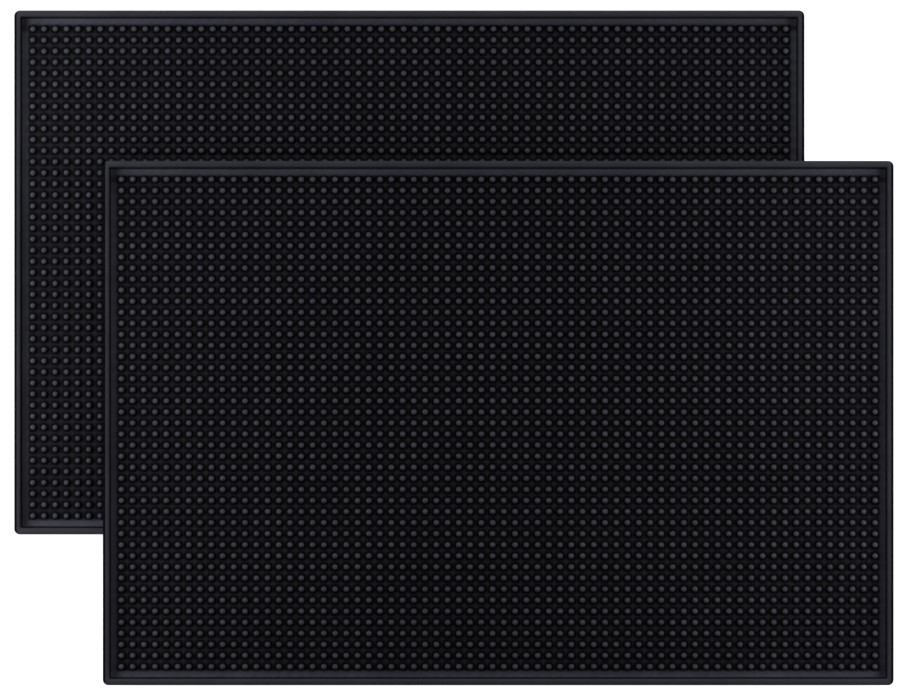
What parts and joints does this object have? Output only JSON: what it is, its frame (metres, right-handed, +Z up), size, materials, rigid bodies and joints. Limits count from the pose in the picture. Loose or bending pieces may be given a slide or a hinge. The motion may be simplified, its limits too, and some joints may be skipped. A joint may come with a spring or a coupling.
{
  "type": "bar mat set",
  "caption": "Stacked rubber bar service mats, each a thin sheet with a raised rim, a drain channel and a field of short round nubs that hold glasses clear of spills.",
  "frame": {"origin": "middle of the underside of the pair's bounding box, on the counter top", "axes": "+X to the right along the long sides, +Y away from the user along the short sides, +Z up; the upper mat lies to the right and to the front of the lower one"},
  "size_m": [0.5086, 0.3904, 0.0203],
  "materials": {
    "lower_rubber": "semi-matte moulded black rubber, slightly bluish, faint sheen on the nub tops and the rim",
    "upper_rubber": "semi-matte moulded black rubber, slightly bluish, faint sheen on the nub tops and the rim"
  },
  "bodies": {
    "lower": {"lower_mat": "lower_rubber"},
    "upper": {"upper_mat": "upper_rubber"}
  },
  "joints": [
    {"name": "upper_mat_lift", "type": "slide", "parent": "lower", "child": "upper", "axis": [0, 0, 1], "range_m": [0, 0.12]}
  ]
}
